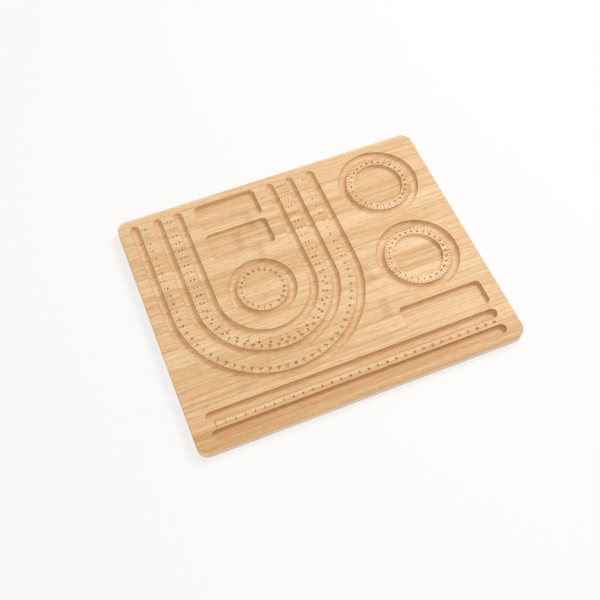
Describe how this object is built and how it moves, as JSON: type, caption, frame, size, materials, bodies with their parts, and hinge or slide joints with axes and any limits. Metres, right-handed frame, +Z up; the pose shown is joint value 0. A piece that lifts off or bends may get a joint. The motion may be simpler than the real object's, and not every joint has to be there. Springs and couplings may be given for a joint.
{
  "type": "bead board",
  "caption": "Bamboo bead board with two ruled straight channels, three nested U-shaped channels, ring channels and pockets for laying out strung beads.",
  "frame": {"origin": "middle of the underside", "axes": "+X along the ruler channels to the right, +Y to the back, +Z up out of the milled face"},
  "size_m": [0.35, 0.283, 0.0135],
  "materials": {
    "bamboo_top": "satin",
    "bamboo_bottom": "satin",
    "burnt_scale": "matte",
    "red_scale": "matte"
  },
  "bodies": {
    "root": {"top_stave_01": "bamboo_top", "top_stave_02": "bamboo_top", "top_stave_03": "bamboo_top", "top_stave_04": "bamboo_top", "top_stave_05": "bamboo_top", "top_stave_06": "bamboo_top", "top_stave_07": "bamboo_top", "top_stave_08": "bamboo_top", "top_stave_09": "bamboo_top", "top_stave_10": "bamboo_top", "top_stave_11": "bamboo_top", "top_stave_12": "bamboo_top", "top_stave_13": "bamboo_top", "bottom_stave_01": "bamboo_bottom", "bottom_stave_02": "bamboo_bottom", "bottom_stave_03": "bamboo_bottom", "bottom_stave_04": "bamboo_bottom", "bottom_stave_05": "bamboo_bottom", "bottom_stave_06": "bamboo_bottom", "bottom_stave_07": "bamboo_bottom", "bottom_stave_08": "bamboo_bottom", "bottom_stave_09": "bamboo_bottom", "bottom_stave_10": "bamboo_bottom", "bottom_stave_11": "bamboo_bottom", "bottom_stave_12": "bamboo_bottom", "bottom_stave_13": "bamboo_bottom"}
  },
  "joints": []
}
